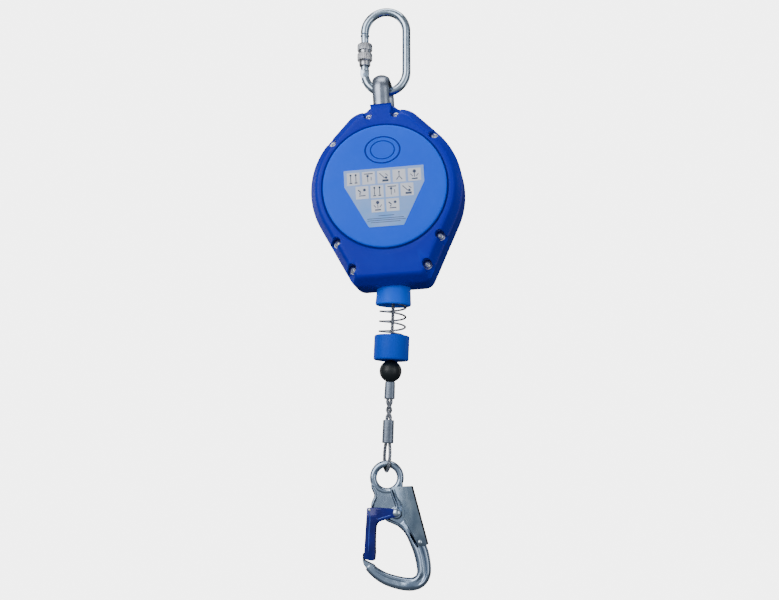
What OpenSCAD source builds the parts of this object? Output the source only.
// Self retracting lifeline: a casing with a sprung cable drum and a fall brake, hung from an
// oval karabiner, with a wire rope that ends in a double-action snap hook.
// Millimetres. Z is up, the front of the casing faces -Y, and the origin is the point where the
// anchor bears, at the inner top of the karabiner.

/* [Part to draw] */
// Name of one node, or all

/* [Karabiner] */
// Diameter of the bar
bar_d = 10; // [9:0.5:11]
// Height between the inner ends
karabiner_inside_h = 90; // [85:1:95]
// Width between the centres of the two sides
karabiner_w = 50; // [48:1:54]
// Outer diameter of the screw sleeve
lock_sleeve_d = 18; // [16:0.5:19]

/* [Casing] */
// Radius of the round part of the casing
casing_r = 88.5; // [86:0.5:92]
// Half of the thickness over the rim faces
casing_half = 40; // [40:0.5:44]
// Thickness of the plastic wall
wall = 3; // [2.5:0.1:3.2]
// Radius of the raised round pad
pad_r = 71.5; // [70:0.5:74]

/* [Anchor handle] */
// Width of the steel strap
handle_w = 19; // [17:0.5:19.5]
// Thickness of the strap where it is curved
handle_t = 10; // [8:0.5:10]

/* [Rope] */
// Diameter of the wire rope
rope_d = 4; // [3.8:0.1:4]
// Sideways lean of the rope where it leaves the casing
line_lean = 5.4; // [4:0.1:6]
// Lean of the hook that hangs on the rope
hook_lean = 3.1; // [2:0.1:5]

/* [Buffer] */
// Diameter of the sleeve under the spring
sleeve_d = 40.6; // [39:0.2:42]
// Mean diameter of the buffer spring
spring_d = 29.6; // [28:0.2:30]
// Diameter of the ball stop
ball_d = 25.6; // [24:0.1:25.6]

/* [Snap hook] */
// Outer diameter of the eye
eye_d = 39; // [38:0.5:40]
// Thickness of the eye's bar
eye_bar_d = 8; // [7:0.2:8]
// Half of the thickness of the forged bow
bow_half = 6.5; // [5.5:0.1:6.5]

/* [Hidden] */
karabiner_lean = 3.1;
casing_x = -7.8;
casing_up = 1.5;

fine = 96;
small = 32;
over = 1;

// Karabiner
bar_r = bar_d / 2;
side_x = karabiner_w / 2;
top_arc_z = bar_r - side_x;
low_arc_z = -karabiner_inside_h - bar_r + side_x;
bar_axis_z = -karabiner_inside_h - bar_r;
hinge_z = low_arc_z - 3;
nose_z = top_arc_z - 2;
gate_top_z = nose_z - 0.6;
gate_r = 5;
fork_half = 2.5;
tongue_half = 2.1;
latch_z = nose_z - 6;
tongue_end_z = nose_z - 9;
slot_end_z = nose_z - 11.5;
hinge_clear_r = 5.3;
hinge_pin_r = 1.6;
latch_r = 1.3;
running = 0.05;
plunger_r = 2.1;
lock_low_z = -61.4;
lock_h = 28;
lock_bore_r = 5.35;
lock_knurl_h = 16;

// Anchor handle
handle_under_z = bar_axis_z + bar_r + 0.3;
handle_half_y = 33;
handle_bend_r = 15;
handle_mid_z = handle_under_z + handle_t / 2;
handle_arm_y = handle_half_y - handle_t / 2;
handle_lens_r = (pow(handle_w / 2 + 1, 2) + pow(handle_t / 2, 2)) / handle_t;
leg_plate_t = 4;
leg_plate_y = handle_half_y - leg_plate_t;
leg_end_r = 16;

// Casing
axle_z = -220;
flank_h = 26;
bevel_in = 8.5;
pad_h = 3;
pad_space_r = 68;
near = 0.1;
v_angle = -26.6;
bottom_d = 112;
foot_x = 34.9;
foot_r = 13;
shoulder_x = 20;
shoulder_y = 66;
shoulder_r = 28;
shoulder_angle = 44.5;
neck_half = 15;
neck_top = 99;
seal_in = 1.1;
seal_w = 1.1;
seal_half = 0.8;
screw_at = [[15.7, 86], [58.6, 57], [59.3, -60], [42.7, -92]];
boss_r = 7.4;
pocket_r = 5.2;
pocket_h = 22;
screw_r = 2;
screw_head_r = 3.7;
screw_head_h = 3;
nut_r = 3.9;
guide_r = 11.8;
guide_flange_r = 15;
guide_flange_h = 4;
guide_bore_r = 5;
label_h = 0.2;
label_z = -13.5;
label_top_w = 92;
label_low_w = 40;
label_side_h = 19;
label_tall = 68;

// Axle, drum and brake: places along the axle are measured from the middle, front positive
axle_r = 6;
axle_half = 39.6;
axle_nut_r = 10;
hub_r = 36;
hub_wall = 3;
boss_out_r = 14;
flange_r = 68;
drum_half = 15;
flange_t = 3.8;
web_half = 3;
bush_r = 9;
wrap_r = 59.68;
wrap_pitch = 4.4;
ring_out_r = 67;
tooth_root_r = 63;
tooth_tip_r = 58;
teeth = 12;
tooth_step = 360 / teeth;
ring_low = 15.5;
ring_high = 24.5;
ring_web_low = 22;
lining_in_r = 12;
lining_out_r = 30;
lining_t = 1.8;
plate_t = 2;
pawl_at_r = 45;
pawl_low = 15.4;
pawl_high = 18.5;
pawl_pin_r = 3;
pawl_pin_high = 21.4;
pawl_lead = 27;
pawl_nose = [[6, 0], [5.6, -14], [5, -26.2], [-2.5, -27], [-6, -8], [-6, 0]];
case_out_r = 58;
case_in_r = 56;
case_floor = 1.5;
case_high = 27;
cover_t = 1.5;
arbor_r = 12;
arbor_hole_r = 13;
coil_turns = 7;
coil_steps = 20;
coil_low_r = 13.5;
coil_high_r = 54;
coil_t = 1;

// Rope run below the casing, before it leans
lean_z = -330;
casing_low_z = axle_z - bottom_d;
collar_low_z = -352.5;
collar_seat_z = -339;
collar_top_r = 19.5;
collar_low_r = 20.75;
collar_bore_r = 17.4;
spring_wire_r = 1.15;
spring_high_z = -340.3;
spring_low_z = -391.4;
sleeve_high_z = -387.4;
sleeve_low_z = -416.3;
sleeve_seat = 5;
sleeve_bore_r = 5;
sleeve_edge = 2;
ball_z = -428.5;
ball_flat_z = -440.3;
ball_flare_r = 4.6;
rope_r = rope_d / 2;
pair_x = rope_r + 0.1;
upper_ferrule_z = [-440.5, -460.5];
lower_ferrule_z = [-484.4, -510.8];
ferrule_wall = 2.2;
tail_z = -441.5;
eye_bar_z = -534;
loop_r = 9.9;
thimble_in_r = 7;
thimble_out_r = 9;
thimble_half = 2.7;
loop_z = -532.2;
loop_twist = 20;
drum_exit = [49.1, axle_z - 33.9];

// Route of the rope from the drum to the end of the eye's front strand
line_route = [
  [48.8, 0, -254.3], [32.7, 0, -277.6], [16.4, 0, -301.3], [3, 0, -321], [0.6, 0, -326],
  [0, 0, -330], [0, 0, -345], [0, 0, -365], [0, 0, -385], [0, 0, -400], [0, 0, -415],
  [0, 0, -425], [0.3, 0, -432], [1.7, 0, -437.5], [2.1, 0, -442], [2.1, 0, -460], [2.1, 0, -484],
  [2.1, 0, -500], [2.1, 0, -510.6]
];
// Route of the eye: down the front strand, round the thimble, up the back strand to the tail
eye_route = [
  [2.1, 0, -510.9], [2.3, -0.9, -513], [2.6, -3.2, -518], [3.1, -6.6, -525], [3.4, -9.3, -532.2],
  [3.2, -8.7, -535.5], [2.6, -7.1, -538.6], [1.6, -4.4, -540.9], [0, 0, -542.1],
  [-1.6, 4.4, -540.9], [-2.6, 7.1, -538.6], [-3.2, 8.7, -535.5], [-3.4, 9.3, -532.2],
  [-3.1, 6.6, -525], [-2.6, 3.2, -518], [-2.3, 0.9, -513], [-2.1, 0, -510], [-2.1, 0, -500],
  [-2.1, 0, -484], [-2.1, 0, -465], [-2.1, 0, -441.5]
];
tube_sides = 10;

// Snap hook, measured from the middle of its eye's top bar
eye_mid = -(eye_d - eye_bar_d) / 2;
pivot = [11.4, eye_mid - 39.5];
lever_pivot = [38.3, eye_mid - 71.5];
gate_sweep_r = 62.1;
seat_r = 62.7;
web_plate_half = 4;
layer_half = 4.6;
pivot_boss_r = 6.4;
pivot_boss_half = 5;
gate_inner = 5.3;
gate_outer = 6.7;
lever_inner = 6.95;
lever_outer = 8.15;
pivot_r = 2.5;
lever_pivot_r = 2;
rivet_head_r = 4;
spring_pocket_half = 2.4;
// Bow of the hook: x, height from the eye's middle, half width
bow = [
  [18, -50, 7], [23.5, -55.5, 6.6], [28.2, -62.5, 6.5], [33.3, -71, 7.6], [37, -78, 8.3],
  [39.6, -86, 8.4], [41.2, -94, 8.2], [42, -101, 8], [41.6, -106.5, 7.8], [39.2, -112, 7.6],
  [34.5, -116, 7.4], [28, -117.9, 7.3], [20, -117.7, 7.3], [12, -116.2, 7.2], [4.5, -114.2, 7],
  [-3, -111.4, 6.6], [-10, -107.4, 6.1], [-16, -102.8, 5.6], [-19.8, -98.2, 5.4]
];
// Web plate between the eye, the pivot and the bow
web_plate = [
  [-18.3, -6], [-16.3, -11], [-14.2, -17.5], [-14.3, -21.5], [-16.4, -26], [-18.2, -31],
  [-17, -36], [-8, -43], [3, -48], [13, -52.5], [22, -60], [32, -70], [42.6, -74.5],
  [42.2, -70], [33.5, -61], [26.5, -46], [20.5, -28], [17.2, -13], [18.6, -6]
];
left_rib = [[-18.3, -6], [-16.3, -11], [-14.2, -17.5], [-14.3, -21.5], [-16.4, -26], [-18.2, -31],
            [-14, -31], [-10.8, -21], [-11, -16.5], [-12, -11]];
right_rib = [[17.2, -13], [20.5, -28], [26.5, -46], [33.5, -61], [28, -61], [21, -46], [14.5, -26],
             [11.2, -12]];
nose = [[-13.4, -93.6], [-13.4, -97], [-19, -104.5], [-24.4, -98.5], [-26.6, -94], [-26.9, -84],
        [-26, -84]];
lever_side = [
  [6.6, -10.3], [29, -9.3], [46.6, -74.1], [43.4, -75.4], [37.5, -76], [34, -71.5], [28, -60],
  [21, -50], [17.8, -43], [17.5, -31], [11.5, -22], [8, -15.5]
];
lever_back = [[27.7, -9.4], [29, -9.3], [46.6, -74.1], [45.3, -74.4]];
gate_side = [
  [-22, -33.4], [-10, -33], [9.5, -35.3], [11.4, -44.1], [8.2, -44.2], [-9.6, -49.8],
  [-11.6, -53], [-12.6, -63.6], [-12.9, -76], [-12.2, -95], [-25.6, -95], [-24.6, -76], [-22.8, -50]
];
gate_slot = [[-20.6, -30], [20, -30], [20, -52], [-11, -52], [-21.2, -49.5]];

// ---- Colours ----
steel = [0.74, 0.75, 0.77];
zinc = [0.66, 0.7, 0.74];
blue = [0.03, 0.15, 0.62];
light_blue = [0.05, 0.35, 0.85];
navy = [0.05, 0.05, 0.45];
black = [0.06, 0.06, 0.06];
grey = [0.55, 0.56, 0.57];
brass = [0.78, 0.62, 0.3];
paper = [0.85, 0.88, 0.95];
green = [0.16, 0.22, 0.18];

// ---- Helpers ----
function unit(v) = v / norm(v);
function turned(v, a) = [v[0] * cos(a) - v[1] * sin(a), v[0] * sin(a) + v[1] * cos(a)];
function polar(r, a) = [r * cos(a), r * sin(a)];

// Frame whose X is the part's X, whose Y is the part's Z, and whose Z points to the front
module facing() {
  rotate([90, 0, 0]) children();
}

// The karabiner stands at a slant on its anchor, and the casing hangs a little to one side of its middle
module clipped() {
  rotate([0, karabiner_lean, 0]) children();
}

module hung() {
  translate([casing_x, 0, casing_up]) children();
}

module at_axle() {
  translate([0, 0, axle_z]) facing() children();
}

// A disc or ring on the axle between two places measured towards the front
module axle_ring(r, low, high, bore = 0) {
  at_axle() difference() {
    translate([0, 0, low]) cylinder(h = high - low, r = r, $fn = fine);
    if (bore > 0) translate([0, 0, low - over]) cylinder(h = high - low + 2 * over, r = bore, $fn = fine);
  }
}

// Everything on the rope leans about one point at the casing's outlet
module lean() {
  translate([0, 0, lean_z]) rotate([0, line_lean, 0]) translate([0, 0, -lean_z]) children();
}

module hang() {
  lean() translate([0, 0, eye_bar_z]) rotate([0, hook_lean - line_lean, 0]) children();
}

// A plate drawn in X and Z, centred on Y = 0
module plate(points, half) {
  facing() linear_extrude(height = 2 * half, center = true) polygon(points);
}

module cross_pin(x, z, r, half) {
  translate([x, 0, z]) facing() cylinder(h = 2 * half, r = r, center = true, $fn = small);
}

// Ring of points round one place of a route
function tube_ring(route, i, r, sides) =
  let (
    last = len(route) - 1,
    ahead = unit(route[min(i + 1, last)] - route[max(i - 1, 0)]),
    across = unit(cross(ahead, [1, 0, 0.01])),
    beside = cross(across, ahead)
  ) [for (k = [0:sides - 1])
      route[i] + r * cos(360 * k / sides) * across + r * sin(360 * k / sides) * beside];

function ring_rows(route, r, sides) = [for (i = [0:len(route) - 1]) each tube_ring(route, i, r, sides)];

module tube(route, r, sides = tube_sides) {
  count = len(route);
  points = ring_rows(route, r, sides);
  walls = [for (i = [0:count - 2], k = [0:sides - 1])
      [i * sides + k, i * sides + (k + 1) % sides, (i + 1) * sides + (k + 1) % sides, (i + 1) * sides + k]];
  first = [[for (k = [sides - 1:-1:0]) k]];
  final = [[for (k = [0:sides - 1]) (count - 1) * sides + k]];
  polyhedron(points = points, faces = concat(walls, first, final), convexity = 10);
}

// A coil spring on Z: closed end turns of one wire each, and even turns between them
function coil_height(t, turns, high, low, wire) =
  let (pitch_h = high - low - 2 * wire * 1.05)
  t < 1 ? high - t * wire * 1.05
  : t > turns - 1 ? low + (turns - t) * wire * 1.05
  : high - wire * 1.05 - (t - 1) / (turns - 2) * pitch_h;

module coil(r, wire_r, high, low, turns, steps = 24, sides = 8) {
  route = [for (i = [0:turns * steps]) let (a = 360 * i / steps, t = i / steps)
      [r * cos(a), r * sin(a), coil_height(t, turns, high, low, 2 * wire_r)]];
  tube_on_z(route, wire_r, sides);
}

// A coil whose turns stand clear of each other right to its ends
module open_coil(r, wire_r, high, low, turns, steps = 24, sides = 8) {
  tube_on_z([for (i = [0:turns * steps]) let (a = 360 * i / steps)
      [r * cos(a), r * sin(a), high - (high - low) * i / (turns * steps)]], wire_r, sides);
}

module tube_on_z(route, r, sides) {
  count = len(route);
  points = [for (p = route, k = [0:sides - 1]) let (
      a = 360 * k / sides, out = unit([p[0], p[1], 0])) p + r * cos(a) * out + [0, 0, r * sin(a)]];
  walls = [for (i = [0:count - 2], k = [0:sides - 1])
      [i * sides + k, (i + 1) * sides + k, (i + 1) * sides + (k + 1) % sides, i * sides + (k + 1) % sides]];
  first = [[for (k = [0:sides - 1]) k]];
  final = [[for (k = [sides - 1:-1:0]) (count - 1) * sides + k]];
  polyhedron(points = points, faces = concat(walls, first, final), convexity = 10);
}

// ---- Karabiner ----
module arc_bar(mid_z, from, sweep) {
  translate([0, 0, mid_z]) facing() rotate([0, 0, from])
    rotate_extrude(angle = sweep, $fn = fine) translate([side_x, 0]) circle(r = bar_r, $fn = small);
}

module karabiner_frame() {
  color(steel) union() {
    arc_bar(top_arc_z, 0, 180);
    translate([side_x, 0, low_arc_z]) cylinder(h = top_arc_z - low_arc_z, r = bar_r, $fn = small);
    translate([-side_x, 0, nose_z]) cylinder(h = top_arc_z - nose_z, r = bar_r, $fn = small);
    difference() {
      arc_bar(low_arc_z, 180, 180);
      cross_pin(-side_x, hinge_z, hinge_clear_r, bar_d);
      translate([-side_x - bar_d, -bar_d, hinge_z]) cube([2 * bar_d, 2 * bar_d, bar_d]);
    }
    hinge_tongue();
    nose_tongue();
  }
}

module hinge_tongue() {
  difference() {
    union() {
      cross_pin(-side_x, hinge_z, bar_r - 0.6, tongue_half);
      translate([-side_x - 3.4, -tongue_half, hinge_z - 8]) cube([6.6, 2 * tongue_half, 8]);
    }
    cross_pin(-side_x, hinge_z, hinge_pin_r + running, bar_d);
  }
}

module nose_tongue() {
  difference() {
    translate([-side_x - 3.6, -tongue_half, tongue_end_z]) cube([7.2, 2 * tongue_half, nose_z - tongue_end_z + 2]);
    translate([-side_x - 1.8, -bar_d / 2, latch_z - 1.8]) cube([bar_d, bar_d, 3.6]);
  }
}

module karabiner_gate() {
  color(steel) translate([-side_x, 0, 0]) difference() {
    union() {
      translate([0, 0, hinge_z]) cylinder(h = gate_top_z - hinge_z - 1, r = gate_r, $fn = small);
      translate([0, 0, gate_top_z - 1]) cylinder(h = 1, r1 = gate_r, r2 = gate_r - 0.8, $fn = small);
      intersection() {
        translate([0, 0, hinge_z]) facing() cylinder(h = 2 * gate_r, r = gate_r - 0.2, center = true, $fn = small);
        translate([0, 0, hinge_z - gate_r]) cylinder(h = gate_r + over, r = gate_r, $fn = small);
      }
    }
    translate([0, 0, hinge_z]) facing() cylinder(h = 2 * fork_half, r = gate_r + 0.4, center = true, $fn = small);
    translate([-gate_r - over, -fork_half, hinge_z - 2 * gate_r]) cube([2 * (gate_r + over), 2 * fork_half, 2 * gate_r]);
    translate([-gate_r - over, -fork_half, slot_end_z]) cube([2 * (gate_r + over), 2 * fork_half, gate_top_z - slot_end_z + over]);
    translate([0, 0, hinge_z]) facing() cylinder(h = 4 * gate_r, r = hinge_pin_r + 0.02, center = true, $fn = small);
    translate([0, 0, latch_z]) facing() cylinder(h = 4 * gate_r, r = latch_r + 0.02, center = true, $fn = small);
    translate([0, 0, hinge_z + gate_r]) cylinder(h = 21, r = plunger_r + 0.1, $fn = small);
  }
}

module gate_pin() {
  color(zinc) cross_pin(-side_x, hinge_z, hinge_pin_r, gate_r - 0.2);
}

module gate_latch_pin() {
  color(zinc) cross_pin(-side_x, latch_z, latch_r, gate_r - 0.2);
}

module gate_plunger() {
  color(zinc) translate([-side_x, 0, hinge_z + gate_r + 0.6]) cylinder(h = 5, r = plunger_r, $fn = small);
}

module gate_spring() {
  color(steel) translate([-side_x, 0, 0])
    coil(plunger_r - 0.5, 0.35, hinge_z + gate_r + 20.4, hinge_z + gate_r + 6.1, 9, 12, 6);
}

module lock_sleeve() {
  color(steel) translate([-side_x, 0, lock_low_z]) difference() {
    union() {
      cylinder(h = lock_h - lock_knurl_h - 1, r = lock_sleeve_d / 2 - 1.6, $fn = small);
      translate([0, 0, lock_h - lock_knurl_h - 1]) cylinder(h = 1, r1 = lock_sleeve_d / 2 - 1.6, r2 = lock_sleeve_d / 2, $fn = small);
      translate([0, 0, lock_h - lock_knurl_h]) cylinder(h = lock_knurl_h - 1.5, r = lock_sleeve_d / 2, $fn = small);
      translate([0, 0, lock_h - 1.5]) cylinder(h = 1.5, r1 = lock_sleeve_d / 2, r2 = lock_sleeve_d / 2 - 1.5, $fn = small);
    }
    translate([0, 0, -over]) cylinder(h = lock_h + 2 * over, r = lock_bore_r, $fn = small);
    for (a = [0:30:330]) rotate([0, 0, a]) translate([lock_sleeve_d / 2 - 0.5, -0.6, lock_h - lock_knurl_h + 1.5])
      cube([2, 1.2, lock_knurl_h - 4]);
  }
}

// ---- Anchor handle ----
// Section of the strap, with its convex outer side towards +X
module strap_section() {
  intersection() {
    translate([handle_lens_r - handle_t / 2, 0]) circle(r = handle_lens_r, $fn = fine);
    translate([handle_t / 2 - handle_lens_r, 0]) circle(r = handle_lens_r, $fn = fine);
    square([handle_t + 2, handle_w], center = true);
  }
}

module strap_bend() {
  // Quarter turn in the YZ plane: starts along +Y's side and ends at the top
  translate([0, handle_arm_y - handle_bend_r, handle_mid_z - handle_bend_r]) rotate([90, 0, 90])
    rotate_extrude(angle = 90, $fn = fine) translate([handle_bend_r, 0]) strap_section();
}

module handle_half() {
  strap_bend();
  translate([0, handle_arm_y, axle_z + 84]) rotate([0, 0, 90])
    linear_extrude(height = handle_mid_z - handle_bend_r - axle_z - 84) strap_section();
  difference() {
    union() {
      translate([-handle_w / 2, leg_plate_y, axle_z]) cube([handle_w, leg_plate_t, 86]);
      translate([0, handle_half_y, axle_z]) facing() cylinder(h = leg_plate_t, r = leg_end_r, $fn = fine);
    }
    translate([0, handle_half_y + over, axle_z]) facing()
      cylinder(h = leg_plate_t + 2 * over, r = axle_r + running, $fn = fine);
  }
}

module anchor_handle() {
  color(grey) union() {
    translate([0, -(handle_arm_y - handle_bend_r), handle_mid_z]) rotate([-90, 0, 0]) rotate([0, 0, 90])
      linear_extrude(height = 2 * (handle_arm_y - handle_bend_r)) strap_section();
    handle_half();
    mirror([0, 1, 0]) handle_half();
  }
}

// ---- Casing ----
// Straight edges as [direction of the normal, distance from the axle]
function foot_edge(a) = [a, foot_x * cos(a) - (bottom_d - foot_r) * sin(a) + foot_r];
function shoulder_edge(a) = [a, shoulder_x * cos(a) + shoulder_y * sin(a) + shoulder_r];
low_edges = [
  [180 - v_angle, casing_r - near], [180 + 47.5, foot_edge(-47.5)[1]],
  [180 + 69, foot_edge(-69)[1]], [270, bottom_d], [360 - 69, foot_edge(-69)[1]],
  [360 - 47.5, foot_edge(-47.5)[1]], [360 + v_angle, casing_r - near],
  [360 + 90, casing_r * sin(v_angle)]
];
high_edges = [
  [shoulder_angle, casing_r - near], [67, shoulder_edge(67)[1]], [90, shoulder_y + shoulder_r],
  [113, shoulder_edge(67)[1]], [180 - shoulder_angle, casing_r - near],
  [270, -casing_r * sin(shoulder_angle)]
];

// Where two edge lines meet, after both are moved inwards
function meet(e, f, inset) =
  let (d = edge_at(e, inset), g = edge_at(f, inset), s = sin(f[0] - e[0]))
  [(d * sin(f[0]) - g * sin(e[0])) / s, (g * cos(e[0]) - d * cos(f[0])) / s];
function edge_at(e, inset) = e[1] > 1 ? e[1] - inset : e[1];
function corners(edges, inset) =
  [for (i = [0:len(edges) - 1]) meet(edges[i], edges[(i + 1) % len(edges)], inset)];

bevel_angle = atan2(bevel_in, casing_half - flank_h);
bevel_slip = (1 - cos(bevel_angle)) / sin(bevel_angle);

module edge_prism(edges, inset, h, bevelled) {
  difference() {
    linear_extrude(height = h) polygon(corners(edges, inset));
    if (bevelled) for (e = edges) if (e[1] > 1)
      rotate([0, 0, e[0]]) translate([e[1] - inset, 0, flank_h - bevel_slip * inset])
        rotate([0, -bevel_angle, 0]) translate([0, -100, -20]) cube([60, 200, 80]);
  }
}

// Filled half casing, drawn towards the front, with every face moved inwards by inset
module blank(inset, h, bevelled = true) {
  edge_prism(low_edges, inset, h, bevelled);
  edge_prism(high_edges, inset, h, bevelled);
  r = casing_r - inset;
  bend_h = bevelled ? flank_h - bevel_slip * inset : h;
  if (bevelled) rotate_extrude($fn = fine)
    polygon([[0, 0], [r, 0], [r, bend_h], [r - (h - bend_h) * tan(bevel_angle), h], [0, h]]);
  else cylinder(h = h, r = r, $fn = fine);
}

module both_sides() {
  children();
  mirror([1, 0, 0]) children();
}

module screw_places() {
  both_sides() for (p = screw_at) translate([p[0], p[1], 0]) children();
}

module half_casing() {
  difference() {
    union() {
      difference() {
        union() {
          blank(0, casing_half);
          translate([0, 0, casing_half - 1]) cylinder(h = pad_h - 0.2, r = pad_r, $fn = fine);
          translate([0, 0, casing_half + pad_h - 1.2]) cylinder(h = 1.2, r1 = pad_r, r2 = pad_r - 1.2, $fn = fine);
          translate([-neck_half, 70, 0]) cube([2 * neck_half, neck_top - 70, casing_half - 2]);
        }
        translate([0, 0, -over]) intersection() {
          blank(wall, casing_half - wall + over);
          translate([0, 0, 50]) cube([300, 300, 100], center = true);
        }
        cylinder(h = casing_half, r = pad_space_r, $fn = fine);
        difference() {
          translate([0, 0, casing_half - 1.2]) cylinder(h = 5, r = pad_r + 1.6, $fn = fine);
          translate([0, 0, casing_half - 2]) cylinder(h = 7, r = pad_r, $fn = fine);
        }
      }
      intersection() {
        blank(0, casing_half);
        screw_places() cylinder(h = casing_half, r = boss_r, $fn = small);
      }
    }
    screw_places() {
      translate([0, 0, pocket_h]) cylinder(h = 30, r = pocket_r, $fn = small);
      translate([0, 0, -over]) cylinder(h = 30, r = screw_r + 0.1, $fn = small);
    }
    for (p = screw_at) both_sides() translate([p[0], p[1], pocket_h])
      rotate([0, 0, atan2(p[1], p[0])]) translate([0, -pocket_r + 0.4, 0]) cube([20, 2 * pocket_r - 0.8, 30]);
    // Slot for one leg of the handle, the outlet, and half of the seal's groove
    translate([-handle_w / 2 - 0.4, 80, handle_half_y - handle_t - 0.4]) cube([handle_w + 0.8, 30, handle_t + 0.8]);
    translate([0, -90, 0]) rotate([90, 0, 0]) cylinder(h = 40, r = guide_r + 0.1, $fn = fine);
    translate([0, 0, -over]) seal_band(seal_half + over);
  }
}

module seal_band(h) {
  difference() {
    blank(seal_in, h, false);
    translate([0, 0, -over]) blank(seal_in + seal_w, h + 2 * over, false);
  }
}

module front_casing() {
  color(blue) at_axle() half_casing();
}

module rear_casing() {
  color(blue) mirror([0, 1, 0]) at_axle() half_casing();
}

module casing_seal() {
  color(black) at_axle() difference() {
    translate([0, 0, 0.05 - seal_half]) seal_band(2 * seal_half - 0.1);
    translate([0, -90, 0]) rotate([90, 0, 0]) cylinder(h = 40, r = guide_r + 0.1, $fn = fine);
    screw_places() translate([0, 0, -5]) cylinder(h = 10, r = screw_r + 0.2, $fn = small);
  }
}

module casing_screws() {
  color(steel) at_axle() screw_places() {
    translate([0, 0, -pocket_h - 4]) cylinder(h = 2 * pocket_h + 5, r = screw_r, $fn = small);
    translate([0, 0, pocket_h]) difference() {
      cylinder(h = screw_head_h, r = screw_head_r, $fn = small);
      translate([0, 0, screw_head_h - 1.6]) cylinder(h = 3, r = 1.6, $fn = 6);
    }
  }
}

module casing_nuts() {
  color(steel) at_axle() screw_places() translate([0, 0, -pocket_h - 3.2]) difference() {
    cylinder(h = 3.2, r = nut_r, $fn = 6);
    translate([0, 0, -over]) cylinder(h = 6, r = screw_r + 0.02, $fn = small);
  }
}

module instruction_label() {
  top = label_z + label_tall / 2;
  color(paper) at_axle() translate([0, 0, casing_half + pad_h]) linear_extrude(height = label_h)
    polygon([[-label_low_w / 2, top - label_tall], [label_low_w / 2, top - label_tall],
             [label_top_w / 2, top - label_side_h], [label_top_w / 2, top], [-label_top_w / 2, top],
             [-label_top_w / 2, top - label_side_h]]);
}

// ---- Axle and brake ----
module main_shaft() {
  color(steel) axle_ring(axle_r, -axle_half, axle_half);
}

module shaft_nuts() {
  color(zinc) at_axle() for (low = [handle_half_y, -handle_half_y - 5.6]) translate([0, 0, low]) difference() {
    cylinder(h = 5.6, r = axle_nut_r, $fn = 6);
    translate([0, 0, -over]) cylinder(h = 8, r = axle_r + 0.02, $fn = fine);
  }
}

module brake_plate() {
  color(steel) axle_ring(lining_out_r + 2, ring_high + lining_t, leg_plate_y, axle_r + running);
}

module friction_linings() {
  color(brass) union() {
    axle_ring(lining_out_r, ring_high, ring_high + lining_t, lining_in_r);
    axle_ring(lining_out_r, ring_web_low - lining_t, ring_web_low, lining_in_r);
  }
}

// Inner profile of the ratchet: a radial face that stops the pawl, a gap, and a slope
tooth_base = 90 - pawl_lead;
tooth_profile = [for (i = [0:teeth - 1]) let (a = tooth_base + tooth_step * i) each [
  polar(tooth_root_r, a), polar(tooth_root_r, a + 9), polar(tooth_tip_r, a + 13),
  polar(tooth_tip_r, a + 21.5), polar(tooth_tip_r, a + tooth_step)
]];

module ratchet_ring() {
  color(steel) at_axle() difference() {
    translate([0, 0, ring_low]) cylinder(h = ring_high - ring_low, r = ring_out_r, $fn = fine);
    translate([0, 0, ring_low - over]) linear_extrude(height = ring_web_low - ring_low + over) polygon(tooth_profile);
    translate([0, 0, ring_low]) cylinder(h = 20, r = lining_in_r + 0.5, $fn = fine);
  }
}

module pressure_plate() {
  color(steel) axle_ring(lining_out_r, ring_web_low - lining_t - plate_t, ring_web_low - lining_t, axle_r + running);
}

module disc_springs() {
  color(steel) at_axle() translate([0, 0, 16.9]) rotate_extrude($fn = fine)
    polygon([[8, 0], [9, 0], [21, 0.5], [21, 1.3], [20, 1.3], [8, 0.8]]);
}

module retaining_ring() {
  color(zinc) axle_ring(11, 15.6, 16.9, axle_r + 0.02);
}

// ---- Drum ----
module cable_drum() {
  color(grey) at_axle() difference() {
    union() {
      for (low = [-drum_half, drum_half - flange_t]) translate([0, 0, low]) cylinder(h = flange_t, r = flange_r, $fn = fine);
      translate([0, 0, -drum_half]) cylinder(h = 2 * drum_half, r = hub_r, $fn = fine);
    }
    for (low = [web_half, -drum_half - over]) translate([0, 0, low]) difference() {
      cylinder(h = drum_half - web_half + over, r = hub_r - hub_wall, $fn = fine);
      translate([0, 0, -over]) cylinder(h = drum_half + 3 * over, r = boss_out_r, $fn = fine);
    }
    translate([0, 0, -20]) cylinder(h = 40, r = bush_r + 0.02, $fn = fine);
    for (a = [90, 270]) rotate([0, 0, a]) translate([pawl_at_r, 0, drum_half - flange_t - over])
      cylinder(h = 10, r = pawl_pin_r + 0.02, $fn = small);
    translate([0, 0, 8.5]) rotate([0, 90, 0]) cylinder(h = hub_r + 2, r = rope_r + 0.2, $fn = small);
    for (a = [45:90:315]) rotate([0, 0, a]) translate([50, 0, -drum_half - over]) cylinder(h = 6, r = 2.02, $fn = small);
  }
}

module drum_bushes() {
  color(brass) at_axle() for (low = [-drum_half + 0.2, drum_half - 12.2]) translate([0, 0, low]) difference() {
    cylinder(h = 12, r = bush_r, $fn = fine);
    translate([0, 0, -over]) cylinder(h = 15, r = axle_r + running, $fn = fine);
  }
}

module wound_rope() {
  color(zinc) at_axle() union() {
    rotate_extrude($fn = fine) union() {
      translate([hub_r + 0.1, 0.3 - drum_half + flange_t])
        square([wrap_r - rope_r - hub_r - 0.2, 2 * (drum_half - flange_t) - 0.6]);
      for (i = [1, 2]) translate([wrap_r - 0.2, i * wrap_pitch]) circle(r = rope_r, $fn = small);
    }
    // The last turn stops where the rope leaves the drum
    rotate([0, 0, atan2(drum_exit[1] - axle_z, drum_exit[0])])
      rotate_extrude(angle = 320, $fn = fine) translate([wrap_r - 0.2, 0]) circle(r = rope_r, $fn = small);
  }
}

module rope_anchor() {
  color(zinc) at_axle() translate([20, 0, 8.5]) rotate([0, 90, 0]) cylinder(h = 12.8, r = 3.4, $fn = small);
}

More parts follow.
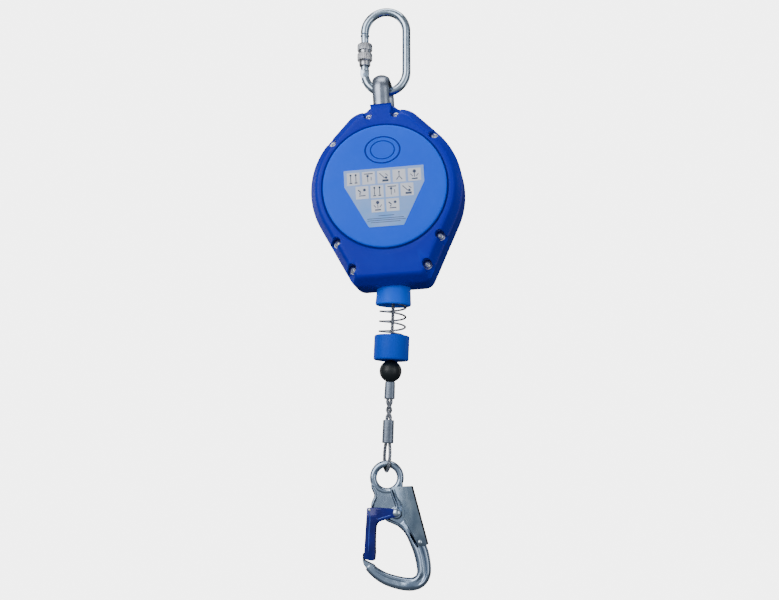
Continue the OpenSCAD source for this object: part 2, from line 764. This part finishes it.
// ---- Pawls ----
module pawl_pins() {
  color(steel) at_axle() for (a = [90, 270]) rotate([0, 0, a]) translate([pawl_at_r, 0, drum_half - flange_t])
    cylinder(h = pawl_pin_high - drum_half + flange_t, r = pawl_pin_r, $fn = small);
}

module pawl(a) {
  color(zinc) at_axle() rotate([0, 0, a]) translate([pawl_at_r, 0, pawl_low]) difference() {
    union() {
      cylinder(h = pawl_high - pawl_low, r = 6, $fn = small);
      linear_extrude(height = pawl_high - pawl_low) polygon(pawl_nose);
    }
    translate([0, 0, -over]) cylinder(h = 10, r = pawl_pin_r + running, $fn = small);
  }
}

module pawl_a() {
  pawl(90);
}

module pawl_b() {
  pawl(270);
}

module pawl_springs() {
  color(steel) at_axle() for (a = [90, 270]) rotate([0, 0, a]) translate([pawl_at_r, 0, 0])
    open_coil(3.7, 0.25, 20.9, 19.2, 2.5);
}

// ---- Retraction spring, behind the drum ----
module spring_case() {
  color(grey) at_axle() difference() {
    translate([0, 0, -case_high]) cylinder(h = case_high - drum_half, r = case_out_r, $fn = fine);
    translate([0, 0, -case_high - over]) cylinder(h = case_high - drum_half - case_floor + over, r = case_in_r, $fn = fine);
    translate([0, 0, -case_high - over]) cylinder(h = 30, r = arbor_hole_r, $fn = fine);
    for (a = [45:90:315]) rotate([0, 0, a]) translate([50, 0, -drum_half - 5]) cylinder(h = 10, r = 2.02, $fn = small);
  }
}

module case_screws() {
  color(steel) at_axle() for (a = [45:90:315]) rotate([0, 0, a]) translate([50, 0, -drum_half - case_floor - 1.2]) {
    cylinder(h = 1.2, r = 3.4, $fn = small);
    cylinder(h = 5.8, r = 2, $fn = small);
  }
}

module spring_cover() {
  color(grey) axle_ring(case_out_r, -case_high - cover_t, -case_high, arbor_hole_r);
}

function coil_at(i, shift) =
  let (a = 360 * i / coil_steps, r = coil_low_r + (coil_high_r - coil_low_r) * i / (coil_turns * coil_steps))
  polar(r + shift, a);
coil_last = coil_turns * coil_steps;

module power_spring() {
  color(steel) at_axle() translate([0, 0, -case_high + 0.6]) linear_extrude(height = 8.2)
    polygon(concat([for (i = [0:coil_last]) coil_at(i, 0)], [for (i = [coil_last:-1:0]) coil_at(i, coil_t)]));
}

module spring_arbor() {
  color(steel) axle_ring(arbor_r, -leg_plate_y, -drum_half - 1, axle_r + running);
}

// ---- Outlet and buffer ----
module rope_guide() {
  color(black) difference() {
    union() {
      translate([0, 0, casing_low_z + 0.1]) cylinder(h = wall + 1, r = guide_r, $fn = fine);
      translate([0, 0, casing_low_z + wall + 0.1]) cylinder(h = guide_flange_h, r = guide_flange_r, $fn = fine);
    }
    translate([0, 0, casing_low_z - over]) cylinder(h = 20, r = guide_bore_r, $fn = fine);
    translate([0, 0, casing_low_z + wall + guide_flange_h - 2.9]) cylinder(h = 3.2, r1 = guide_bore_r, r2 = guide_bore_r + 3.2, $fn = fine);
  }
}

module nozzle_collar() {
  color(light_blue) difference() {
    lean() difference() {
      union() {
        translate([0, 0, collar_low_z + 1.5]) cylinder(h = 24, r1 = collar_low_r, r2 = collar_top_r, $fn = fine);
        translate([0, 0, collar_low_z]) cylinder(h = 1.5, r1 = collar_low_r - 1.2, r2 = collar_low_r, $fn = fine);
      }
      translate([0, 0, collar_low_z - over]) cylinder(h = collar_seat_z - collar_low_z + over, r = collar_bore_r, $fn = fine);
      translate([0, 0, collar_low_z - over]) cylinder(h = 40, r = guide_bore_r + 1, $fn = fine);
    }
    translate([-50, -50, casing_low_z]) cube([100, 100, 50]);
  }
}

module buffer_spring() {
  color(steel) lean() coil(spring_d / 2, spring_wire_r, spring_high_z, spring_low_z, 6);
}

module buffer_sleeve() {
  color(light_blue) lean() difference() {
    union() {
      translate([0, 0, sleeve_low_z]) cylinder(h = sleeve_edge, r1 = sleeve_d / 2 - sleeve_edge, r2 = sleeve_d / 2, $fn = fine);
      translate([0, 0, sleeve_low_z + sleeve_edge]) cylinder(h = sleeve_high_z - sleeve_low_z - 2 * sleeve_edge, r = sleeve_d / 2, $fn = fine);
      translate([0, 0, sleeve_high_z - sleeve_edge]) cylinder(h = sleeve_edge, r1 = sleeve_d / 2, r2 = sleeve_d / 2 - sleeve_edge, $fn = fine);
    }
    translate([0, 0, sleeve_low_z - over]) cylinder(h = 40, r = sleeve_bore_r, $fn = fine);
    translate([0, 0, sleeve_high_z - sleeve_seat - 0.3]) cylinder(h = 10, r = spring_d / 2 + spring_wire_r + 0.4, $fn = fine);
  }
}

module ball_stop() {
  color(black) lean() difference() {
    translate([0, 0, ball_z]) sphere(r = ball_d / 2, $fn = fine);
    translate([0, 0, ball_z - 20]) cylinder(h = 40, r = rope_r + 0.5, $fn = small);
    translate([0, 0, ball_flat_z - ball_d]) cylinder(h = ball_d, r = ball_d, $fn = small);
    translate([0, 0, ball_flat_z]) cylinder(h = 12, r1 = ball_flare_r, r2 = rope_r + 0.5, $fn = small);
  }
}

// Sleeve pressed round two ropes that lie side by side
module ferrule(high, low, wide) {
  translate([0, 0, low]) difference() {
    for (x = [-pair_x, pair_x]) translate([x, 0, 0]) cylinder(h = high - low, r1 = rope_r + ferrule_wall + wide, r2 = rope_r + ferrule_wall, $fn = small);
    for (x = [-pair_x, pair_x]) translate([x, 0, -over]) cylinder(h = high - low + 2 * over, r = rope_r + 0.06, $fn = small);
  }
}

module upper_ferrule() {
  color(grey) lean() ferrule(upper_ferrule_z[0], upper_ferrule_z[1], -0.4);
}

module lower_ferrule() {
  color(grey) lean() ferrule(lower_ferrule_z[0], lower_ferrule_z[1], 0.2);
}

module lifeline_rope() {
  leaning = [for (p = line_route) p[2] > lean_z ? p : leaned(p)];
  color(zinc) tube(leaning, rope_r);
}

function leaned(p) = let (d = p[2] - lean_z)
  [p[0] * cos(line_lean) + d * sin(line_lean), p[1], lean_z + d * cos(line_lean) - p[0] * sin(line_lean)];

module rope_eye() {
  color(zinc) tube([for (p = eye_route) leaned(p)], rope_r);
}

module thimble() {
  color(green) lean() translate([0, 0, loop_z]) rotate([0, 0, loop_twist]) rotate([90, 0, 90]) rotate([0, 0, 182])
    rotate_extrude(angle = 176, $fn = fine) difference() {
      translate([thimble_in_r, -thimble_half]) square([thimble_out_r - thimble_in_r, 2 * thimble_half]);
      translate([loop_r, 0]) circle(r = rope_r + 0.32, $fn = small);
    }
}

// ---- Snap hook ----
function bow_dir(i) = unit([for (k = [0, 1]) bow[min(i + 1, len(bow) - 1)][k] - bow[max(i - 1, 0)][k]]);
function bow_side(i, share) = [bow[i][0], bow[i][1]] + turned(bow_dir(i), 90) * bow[i][2] * share;
function bow_outline(share, from = 0) = concat(
  [for (i = [from:len(bow) - 1]) bow_side(i, share)], [for (i = [len(bow) - 1:-1:from]) bow_side(i, -share)]);

module hook_plate(points, half) {
  translate([0, 0, eye_mid]) plate(points, half);
}

module hook_body() {
  color(zinc) hang() difference() {
    union() {
      translate([0, 0, eye_mid]) facing() rotate_extrude($fn = fine) translate([-eye_mid, 0]) circle(r = eye_bar_d / 2, $fn = small);
      difference() {
        hook_plate(web_plate, web_plate_half);
        translate([0, 0, eye_mid]) facing() cylinder(h = 40, r = -eye_mid, center = true, $fn = fine);
      }
      hook_plate(left_rib, layer_half + 0.4);
      difference() {
        hook_plate(right_rib, bow_half - 0.1);
        translate([0, 0, eye_mid]) facing() cylinder(h = 40, r = -eye_mid + 1, center = true, $fn = fine);
      }
      hook_plate(bow_outline(1), layer_half);
      hook_plate(bow_outline(0.72, 2), bow_half);
      hook_plate(nose, layer_half + 1.2);
      cross_pin(pivot[0], pivot[1], pivot_boss_r, pivot_boss_half);
    }
    // Room for the end of the gate, swung about its pivot
    intersection() {
      cross_pin(pivot[0], pivot[1], seat_r, 20);
      translate([-26.1, -20, eye_mid - 120]) cube([15, 40, 45]);
    }
    cross_pin(pivot[0], pivot[1], pivot_r + running, 20);
    cross_pin(pivot[0], pivot[1], 5.2, spring_pocket_half);
    cross_pin(lever_pivot[0], lever_pivot[1], lever_pivot_r + running, 20);
    cross_pin(lever_pivot[0], lever_pivot[1], 4.2, spring_pocket_half);
  }
}

module hook_gate() {
  color(navy) hang() difference() {
    union() {
      hook_plate(gate_side, gate_outer);
      cross_pin(pivot[0], pivot[1], 4.6, gate_outer);
    }
    // Slot for the hook's web plate, and the rounded end that faces the nose
    hook_plate(gate_slot, gate_inner);
    difference() {
      hook_plate([[-40, -80], [0, -80], [0, -110], [-40, -110]], 2 * gate_outer);
      cross_pin(pivot[0], pivot[1], gate_sweep_r, 3 * gate_outer);
    }
    cross_pin(pivot[0], pivot[1], pivot_r + 0.02, 20);
  }
}

module rivet(x, z, r, head_r, half) {
  cross_pin(x, z, r, half);
  for (s = [-1, 1]) translate([x, s * (half - 0.6), z]) facing() cylinder(h = 1.2, r = head_r, center = true, $fn = small);
}

module gate_rivet() {
  color(steel) hang() rivet(pivot[0], pivot[1], pivot_r, rivet_head_r, gate_outer + 1.22);
}

module hook_gate_spring() {
  color(steel) hang() translate([pivot[0], 0, pivot[1]]) facing() coil(3.8, 0.5, 1.7, -1.7, 3, 16, 6);
}

module hook_lever() {
  color(zinc) hang() difference() {
    union() {
      for (s = [-1, 1]) translate([0, s * (lever_inner + lever_outer) / 2, 0]) hook_plate(lever_side, (lever_outer - lever_inner) / 2);
      hook_plate(lever_back, lever_inner + 0.2);
    }
    cross_pin(lever_pivot[0], lever_pivot[1], lever_pivot_r + 0.02, 20);
  }
}

module lever_rivet() {
  color(steel) hang() rivet(lever_pivot[0], lever_pivot[1], lever_pivot_r, 3, lever_outer + 1.22);
}

module lever_spring() {
  color(steel) hang() translate([lever_pivot[0], 0, lever_pivot[1]]) facing() coil(3.1, 0.45, 1.7, -1.7, 3, 16, 6);
}

clipped() karabiner_frame();
clipped() karabiner_gate();
clipped() gate_pin();
clipped() gate_latch_pin();
clipped() gate_plunger();
clipped() gate_spring();
clipped() lock_sleeve();
hung() anchor_handle();
hung() front_casing();
hung() rear_casing();
hung() casing_seal();
hung() casing_screws();
hung() casing_nuts();
hung() instruction_label();
hung() main_shaft();
hung() shaft_nuts();
hung() brake_plate();
hung() friction_linings();
hung() ratchet_ring();
hung() pressure_plate();
hung() disc_springs();
hung() retaining_ring();
hung() cable_drum();
hung() drum_bushes();
hung() wound_rope();
hung() rope_anchor();
hung() pawl_pins();
hung() pawl_a();
hung() pawl_b();
hung() pawl_springs();
hung() spring_case();
hung() spring_cover();
hung() case_screws();
hung() power_spring();
hung() spring_arbor();
hung() rope_guide();
hung() nozzle_collar();
hung() buffer_spring();
hung() buffer_sleeve();
hung() ball_stop();
hung() upper_ferrule();
hung() lower_ferrule();
hung() lifeline_rope();
hung() rope_eye();
hung() thimble();
hung() hook_body();
hung() hook_gate();
hung() gate_rivet();
hung() hook_gate_spring();
hung() hook_lever();
hung() lever_rivet();
hung() lever_spring();
